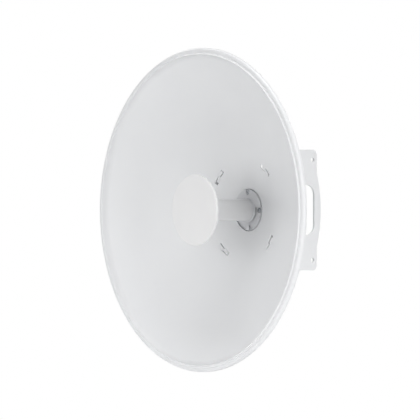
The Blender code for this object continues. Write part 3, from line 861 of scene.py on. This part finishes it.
def rounded_lip(radius: float, half: float) -> np.ndarray:
    """Small arc where a notch's wall, at y = half, meets a disc's edge."""
    lip = 0.8
    reach = math.sqrt((radius - lip) ** 2 - (half + lip) ** 2)
    end = math.degrees(math.atan2(half + lip, reach))
    return arc_points((reach, half + lip), lip, 270, 360 + end, 5)


@dataclass
class Mounting:
    """What lies behind the dish: hub, lugs, web, side plates, fasteners and connectors."""

    bowl: Bowl
    slot: SlotShape
    web_rear: float = -38.0
    web_sheet: float = 4.0
    web_half_height: float = 96.0
    web_relief: tuple[float, float] = (30.0, 24.0)
    flange_half_height: float = 46.0
    flange_front: float = -2.0
    pad: tuple[float, float, float] = (38.0, 18.0, 6.0)
    pad_holes: tuple[float, float, float] = (28.0, 10.0, 3.4)
    plate_outer: float = 97.0
    plate_sheet: float = 5.0
    plate_half_height: float = 121.0
    plate_rear: float = -95.3
    bulge: tuple[float, float] = (10.0, 73.0)
    handle: tuple[float, float, float] = (-68.8, 20.0, 50.5)
    plate_hole: tuple[float, float, float] = (11.4, 100.6, 4.4)
    side_bolt: tuple[float, float] = (-20.0, 35.0)
    connector: tuple[float, float] = (20.0, -32.0)
    hub_circle: float = 52.0
    hub_angles: tuple[float, ...] = (30.0, 150.0, 210.0, 330.0)
    signs: tuple[tuple[int, int], ...] = field(
        default=((-1, -1), (-1, 1), (1, -1), (1, 1)))

    def web_front(self) -> float:
        """Height of the web's front face."""
        return self.web_rear + self.web_sheet

    def hub_screws(self) -> list[np.ndarray]:
        """Places of the four screws that hold the hub."""
        return [spun(np.array((self.hub_circle, 0.0)), angle) for angle in self.hub_angles]

    def lug_screws(self) -> list[np.ndarray]:
        """Places of the screws behind the four lugs."""
        radius, angle = self.slot.screw
        return [spun(np.array((radius, 0.0)), angle + 90.0 * index) for index in range(4)]

    def build_hub(self) -> None:
        """Waisted casting between the web and the dish, its front lip bent to the bowl."""
        rear = self.web_front() + GAP
        lip = [(radius, float(self.bowl.back(np.array(radius), GAP)) - 0.4) for radius in (43.0, 50.0, 58.0)]
        section = [(0.0, -4.3, 0.0), (43.0, -4.3, 0.4), (*lip[0], 0.0), (*lip[1], 0.0),
                   (*lip[2], 0.4), (58.0, -5.3, 1.2), (46.0, -10.3, 3.0), (46.0, rear + 6.0, 3.0),
                   (58.0, rear + 6.0, 1.5), (58.0, rear, 0.8), (0.0, rear, 0.0)]
        add_piece("feed_hub", [turned(section, 128)], PAINTED_CASTING)

    def build_lugs(self) -> None:
        """Lugs: body and head, two closed parts that run into each other.

        Their front faces are at the height of the bowl at the same place plus an offset.
        """
        back = self.web_front() + GAP

        def to_bowl(points: np.ndarray) -> np.ndarray:
            moved = points.copy()
            front = moved[:, 2] > 0.5 * back
            moved[front, 2] += self.bowl.front(np.hypot(moved[front, 0], moved[front, 1]))
            return moved

        for index in range(4):
            body = spun(stepped_outline(self.slot.body_wide, self.slot.body_narrow), 90.0 * index)
            head = spun(sector_outline(*self.slot.head), 90.0 * index)
            patches = plate(body, [], back, self.slot.sunk, 0.4, to_bowl)
            patches += plate(head, [], back, self.slot.proud, 0.6, to_bowl)
            add_piece("locking_lug_%d" % (index + 1), patches, POWDER_COAT)

    def web_outline(self) -> np.ndarray:
        """Plate with a shallow relief in the middle of its top and of its bottom edge."""
        half = self.plate_outer - self.plate_sheet - GAP
        relief, depth = self.web_relief
        top, low = self.web_half_height, self.web_half_height - depth
        upper = [(half, top, 8.0), (relief, top, 8.0), (relief, low, 8.0),
                 (-relief, low, 8.0), (-relief, top, 8.0), (-half, top, 8.0)]
        lower = [(x, -y, radius) for x, y, radius in reversed(upper)]
        return rounded(upper + lower, 8)

    def build_web(self) -> None:
        """Cross plate with its two folded flanges and the clamp pad, run into each other."""
        upright = facing((0.0, 0.0, 0.0), "z")
        holes = [circle(tuple(place), 2.8, 24) for place in self.hub_screws() + self.lug_screws()]
        x, y = self.connector
        holes += [circle((side * x, y), 6.3, 32) for side in (-1, 1)]
        x, y, radius = self.pad_holes
        holes += [circle((side * x, level * y), radius, 32) for side, level in self.signs]
        patches = plate(self.web_outline(), holes, self.web_rear, self.web_front(), 0.5, upright)
        wide, high, thick = self.pad
        pad = rounded([(wide, high, 5.0), (-wide, high, 5.0), (-wide, -high, 5.0), (wide, -high, 5.0)], 8)
        patches += plate(pad, holes[-4:], self.web_rear - thick, self.web_rear + 0.5, 0.6, upright)
        outer = self.plate_outer - self.plate_sheet - GAP
        depth, level = self.side_bolt
        bores = [circle((-depth, sign * level), 3.3, 24) for sign in (-1, 1)]
        rear, front = self.web_rear + 1.0, self.flange_front
        tall = self.flange_half_height
        fold = rounded([(-front, tall, 6.0), (-rear, tall, 0.0), (-rear, -tall, 0.0), (-front, -tall, 6.0)], 6)
        for side in (-1, 1):
            lift = facing((side * (outer - self.web_sheet), 0.0, 0.0), "x", side)
            turned_fold = fold * np.array((side, 1.0))
            turned_bores = [bore * np.array((side, 1.0)) for bore in bores]
            patches += plate(turned_fold, turned_bores, 0.0, self.web_sheet, 0.5, lift)
        add_piece("bracket_web", patches, POWDER_COAT)

    def plate_outline(self) -> np.ndarray:
        """Side plate from the side, as (depth behind the vertex, height).

        The front edge follows the back of the bowl, and the rear edge has a long flat bulge.
        """
        inner = self.plate_outer - self.plate_sheet
        half, rear = self.plate_half_height, -self.plate_rear
        y = np.linspace(-half, half, 41)
        front = -self.bowl.back(np.hypot(inner, y), 2 * GAP)
        height, reach = self.bulge
        radius = (reach ** 2 + height ** 2) / (2 * height)
        spread = math.degrees(math.asin(reach / radius))
        swell = arc_points((rear + height - radius, 0.0), radius, spread, -spread, 36)
        corner = arc_points((rear - 10.0, half - 10.0), 10.0, 90, 0, 8)
        lower = corner[::-1] * np.array((1.0, -1.0))
        return np.vstack((np.stack((front, y), axis=-1), corner, swell, lower))

    def handle_outline(self) -> np.ndarray:
        """Obround slot that runs up and down."""
        centre, radius, half = -self.handle[0], self.handle[1], self.handle[2]
        level = half - radius
        return np.vstack((arc_points((centre, level), radius, 0, 180, 32),
                          arc_points((centre, -level), radius, 180, 360, 32)))

    def build_plates(self) -> None:
        """Two side plates with a hand slot, two clamp holes and two bolt holes each."""
        inset, level, radius = self.plate_hole
        depth, bolt_level = self.side_bolt
        rear = -self.plate_rear
        holes = [self.handle_outline()]
        holes += [circle((rear - inset, sign * level), radius, 40) for sign in (-1, 1)]
        holes += [circle((-depth, sign * bolt_level), 3.3, 24) for sign in (-1, 1)]
        for name, side in (("left", -1), ("right", 1)):
            flip = np.array((side, 1.0))
            lift = facing((side * (self.plate_outer - self.plate_sheet), 0.0, 0.0), "x", side)
            patches = plate(self.plate_outline() * flip, [hole * flip for hole in holes], 0.0,
                            self.plate_sheet, 0.6, lift)
            add_piece("side_plate_" + name, patches, POWDER_COAT)

    def build_side_bolts(self) -> None:
        """Bolts through each side plate and fold, with nuts inside."""
        depth, level = self.side_bolt
        grip = self.plate_sheet + self.web_sheet + 3 * GAP
        bolt = Fastener(6.0, 3.6, 3.0, grip + 6.5 - GAP, 2.4)
        for number, (side, sign) in enumerate(self.signs, 1):
            seat = (side * (self.plate_outer + GAP), sign * level, depth)
            add_piece("side_bolt_%d" % number, bolt.screw(facing(seat, "x", side)), ZINC_PLATE)
            inside = (side * (self.plate_outer - grip - 5.0), sign * level, depth)
            nut = hexagon_nut(5.0, 5.0, 3.15, facing(inside, "x", side))
            add_piece("side_nut_%d" % number, nut, ZINC_PLATE)

    def build_rear_screws(self) -> None:
        """Screws driven forward through the web into the hub and the lugs."""
        screw = Fastener(4.6, 3.2, 2.5, self.web_sheet + 4.8, 1.9)
        for kind, places in (("hub", self.hub_screws()), ("lug", self.lug_screws())):
            for number, (x, y) in enumerate(places, 1):
                lift = facing((x, y, self.web_rear - GAP), "z", -1)
                add_piece("%s_screw_%d" % (kind, number), screw.screw(lift), ZINC_PLATE)

    def build_connectors(self) -> None:
        """Threaded radio connectors through the web, each with its nut.

        The thread's radius is 5.2 mm less 0.5 mm times a triangle wave of (height / pitch
        - turns), so that its crest climbs one pitch in each turn.
        """
        pitch, crest = 1.0, 5.2
        x, y = self.connector
        shoulder, rear = self.web_rear - 5.6, -62.0
        heights = np.arange(shoulder, rear - 0.01, -pitch / 6)
        angles = even_angles(48)
        wave = (heights[:, None] / pitch - angles / (2 * math.pi)) % 1.0
        fade = np.clip(np.minimum(shoulder - heights, heights - rear) / pitch, 0.0, 1.0)[:, None]
        thread = crest - 0.1 - 0.5 * fade * np.abs(2 * wave - 1)
        front = np.array(((0.0, -20.0), (5.6, -20.0), (6.0, -20.4), (6.0, shoulder + 0.4), (5.7, shoulder)))
        end = np.array(((4.9, rear), (3.6, rear), (3.4, rear + 0.3), (3.4, rear + 8.0),
                        (1.5, rear + 8.0), (1.5, rear + 7.0), (0.6, rear + 7.0),
                        (0.6, rear + 2.5), (0.4, rear + 2.0), (0.0, rear + 2.0)))
        radii = np.vstack((np.tile(front[:, :1], (1, 48)), thread, np.tile(end[:, :1], (1, 48))))
        z = np.concatenate((front[:, 1], heights, end[:, 1]))[:, None] + 0.0 * angles
        points = np.stack((radii * np.cos(angles), radii * np.sin(angles), z), axis=-1)
        body = grid(points)
        for name, side in (("left", -1), ("right", 1)):
            lift = facing((side * x, y, 0.0), "z")
            add_piece("rf_connector_" + name, [lifted(body, lift)], SATIN_NICKEL)
            seat = facing((side * x, y, self.web_rear - GAP), "z", -1)
            add_piece("rf_nut_" + name, hexagon_nut(8.5, 4.0, 6.15, seat), SATIN_NICKEL)

    def shade_seal_gap(self) -> None:
        """The seal keeps its CAD ring and gets near-black rubber, which paints the shade in the gap round the
        flange.
        """
        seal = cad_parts["feed_seal"]
        seal.data.materials.clear()
        # Near-black rubber here is painted shade for the gap between the flange and the hole.
        seal.data.materials.append(RUBBER_PAINTED_GAP_SHADE.material())
        LOG.info("feed_seal: kept, dressed in %s", RUBBER_PAINTED_GAP_SHADE.name)

    def build(self) -> None:
        """All pieces behind the dish."""
        self.build_hub()
        self.build_lugs()
        self.build_web()
        self.build_plates()
        self.build_side_bolts()
        self.build_rear_screws()
        self.build_connectors()
        self.shade_seal_gap()


# Studio


@dataclass(frozen=True)
class SoftBox:
    """Square area light that looks at the dish from a direction.

    Azimuth 0 is in front of the dish, 90 is on its right, and elevation is upwards.
    """

    name: str
    azimuth: float
    elevation: float
    power: float
    size: float = 2.0
    distance: float = 3.0


@dataclass
class Studio:
    """Camera, floor, white surround and soft boxes."""

    azimuth: float = 50.9
    pixels_per_mm: float = 0.4987
    aim_offset: float = -79.4
    distance: float = 2.0
    frame_pixels: int = 420
    floor_drop: float = 0.56
    floor_radius: float = 1.2
    surround: float = 0.02
    lights: tuple[SoftBox, ...] = (
        SoftBox("right_box", 90.0, 0.0, 54.0),
        SoftBox("right_high_box", 90.0, 45.0, 16.5),
        SoftBox("left_high_box", 270.0, 45.0, 17.0),
        SoftBox("left_low_box", 300.0, -15.0, 9.5),
        SoftBox("front_box", 0.0, 0.0, 18.5),
        SoftBox("front_right_box", 30.0, 0.0, 15.5),
        SoftBox("front_left_box", 330.0, 0.0, 16.5),
        SoftBox("front_high_box", 0.0, 20.0, 11.0),
        SoftBox("top_box", 0.0, 89.0, 56.0),
        SoftBox("rear_box", 180.0, 20.0, 24.0),
    )

    def direction(self, azimuth: float, elevation: float) -> Vector:
        """Unit vector from the dish towards a direction: front is -Y, right is +X."""
        a, e = math.radians(azimuth), math.radians(elevation)
        return Vector((math.sin(a) * math.cos(e), -math.cos(a) * math.cos(e), math.sin(e)))

    def build_camera(self) -> None:
        """Camera level with the axis, whose parallel rays keep parallel lines parallel."""
        camera = bpy.data.cameras.new("camera")
        camera.type = "ORTHO"
        camera.ortho_scale = self.frame_pixels / self.pixels_per_mm * MM
        camera.clip_end = 50 * self.distance
        towards = self.direction(self.azimuth, 0.0)
        right = Vector((-towards.y, towards.x, 0.0))
        aim = Vector((0.0, -CLAMP_TO_VERTEX * MM, 0.0)) + right * self.aim_offset * MM
        item = bpy.data.objects.new("camera", camera)
        item.location = aim + towards * self.distance
        item.rotation_euler = (-towards).to_track_quat("-Z", "Y").to_euler()
        bpy.context.scene.collection.objects.link(item)
        bpy.context.scene.camera = item

    def build_lights(self) -> None:
        """Soft boxes, all turned to the middle of the dish."""
        middle = Vector((0.0, -0.1, 0.0))
        for box in self.lights:
            light = bpy.data.lights.new(box.name, "AREA")
            light.shape = "SQUARE"
            light.size = box.size
            light.energy = box.power
            towards = self.direction(box.azimuth, box.elevation)
            item = bpy.data.objects.new(box.name, light)
            item.location = middle + towards * box.distance
            item.rotation_euler = (-towards).to_track_quat("-Z", "Y").to_euler()
            bpy.context.scene.collection.objects.link(item)

    def build_surround(self) -> None:
        """White all round: full white where the camera looks past the dish, less as light."""
        world = bpy.data.worlds.new("white_surround")
        world.use_nodes = True
        tree = world.node_tree
        tree.nodes.clear()
        path = add_node(tree, "ShaderNodeLightPath")
        strength = add_node(tree, "ShaderNodeMapRange", None, {
            "Value": path.outputs["Is Camera Ray"], "To Min": self.surround, "To Max": 1.0})
        white = add_node(tree, "ShaderNodeBackground", None, {
            "Color": (1.0, 1.0, 1.0, 1.0), "Strength": strength.outputs["Result"]})
        add_node(tree, "ShaderNodeOutputWorld", None, {"Surface": white.outputs["Background"]})
        bpy.context.scene.world = world
        bpy.context.scene.view_settings.view_transform = "Standard"

    def build_floor(self) -> None:
        """Round pale board below the antenna, out of the main view."""
        board = turned([(0.0, 0.0, 0.0), (1000 * self.floor_radius, 0.0, 4.0),
                        (1000 * self.floor_radius, -20.0, 4.0), (0.0, -20.0, 0.0)], 128)
        drop = 1000 * self.floor_drop

        def laid(points: np.ndarray) -> np.ndarray:
            return np.stack((points[:, 0], points[:, 2] - drop, points[:, 1]), axis=-1)

        floor = make_object("floor", [lifted(board, laid)])
        floor.data.materials.append(FLOOR_BOARD.material())

    def build(self) -> None:
        """The whole studio."""
        self.build_camera()
        self.build_lights()
        self.build_surround()
        self.build_floor()


def main() -> None:
    """Builds the antenna and its studio."""
    logging.basicConfig(level=logging.INFO, format="%(message)s")
    bowl, slot = Bowl(), SlotShape()
    Studio().build()
    Reflector(bowl, slot).build()
    Feed().build()
    Mounting(bowl, slot).build()


if __name__ == "__main__":
    main()
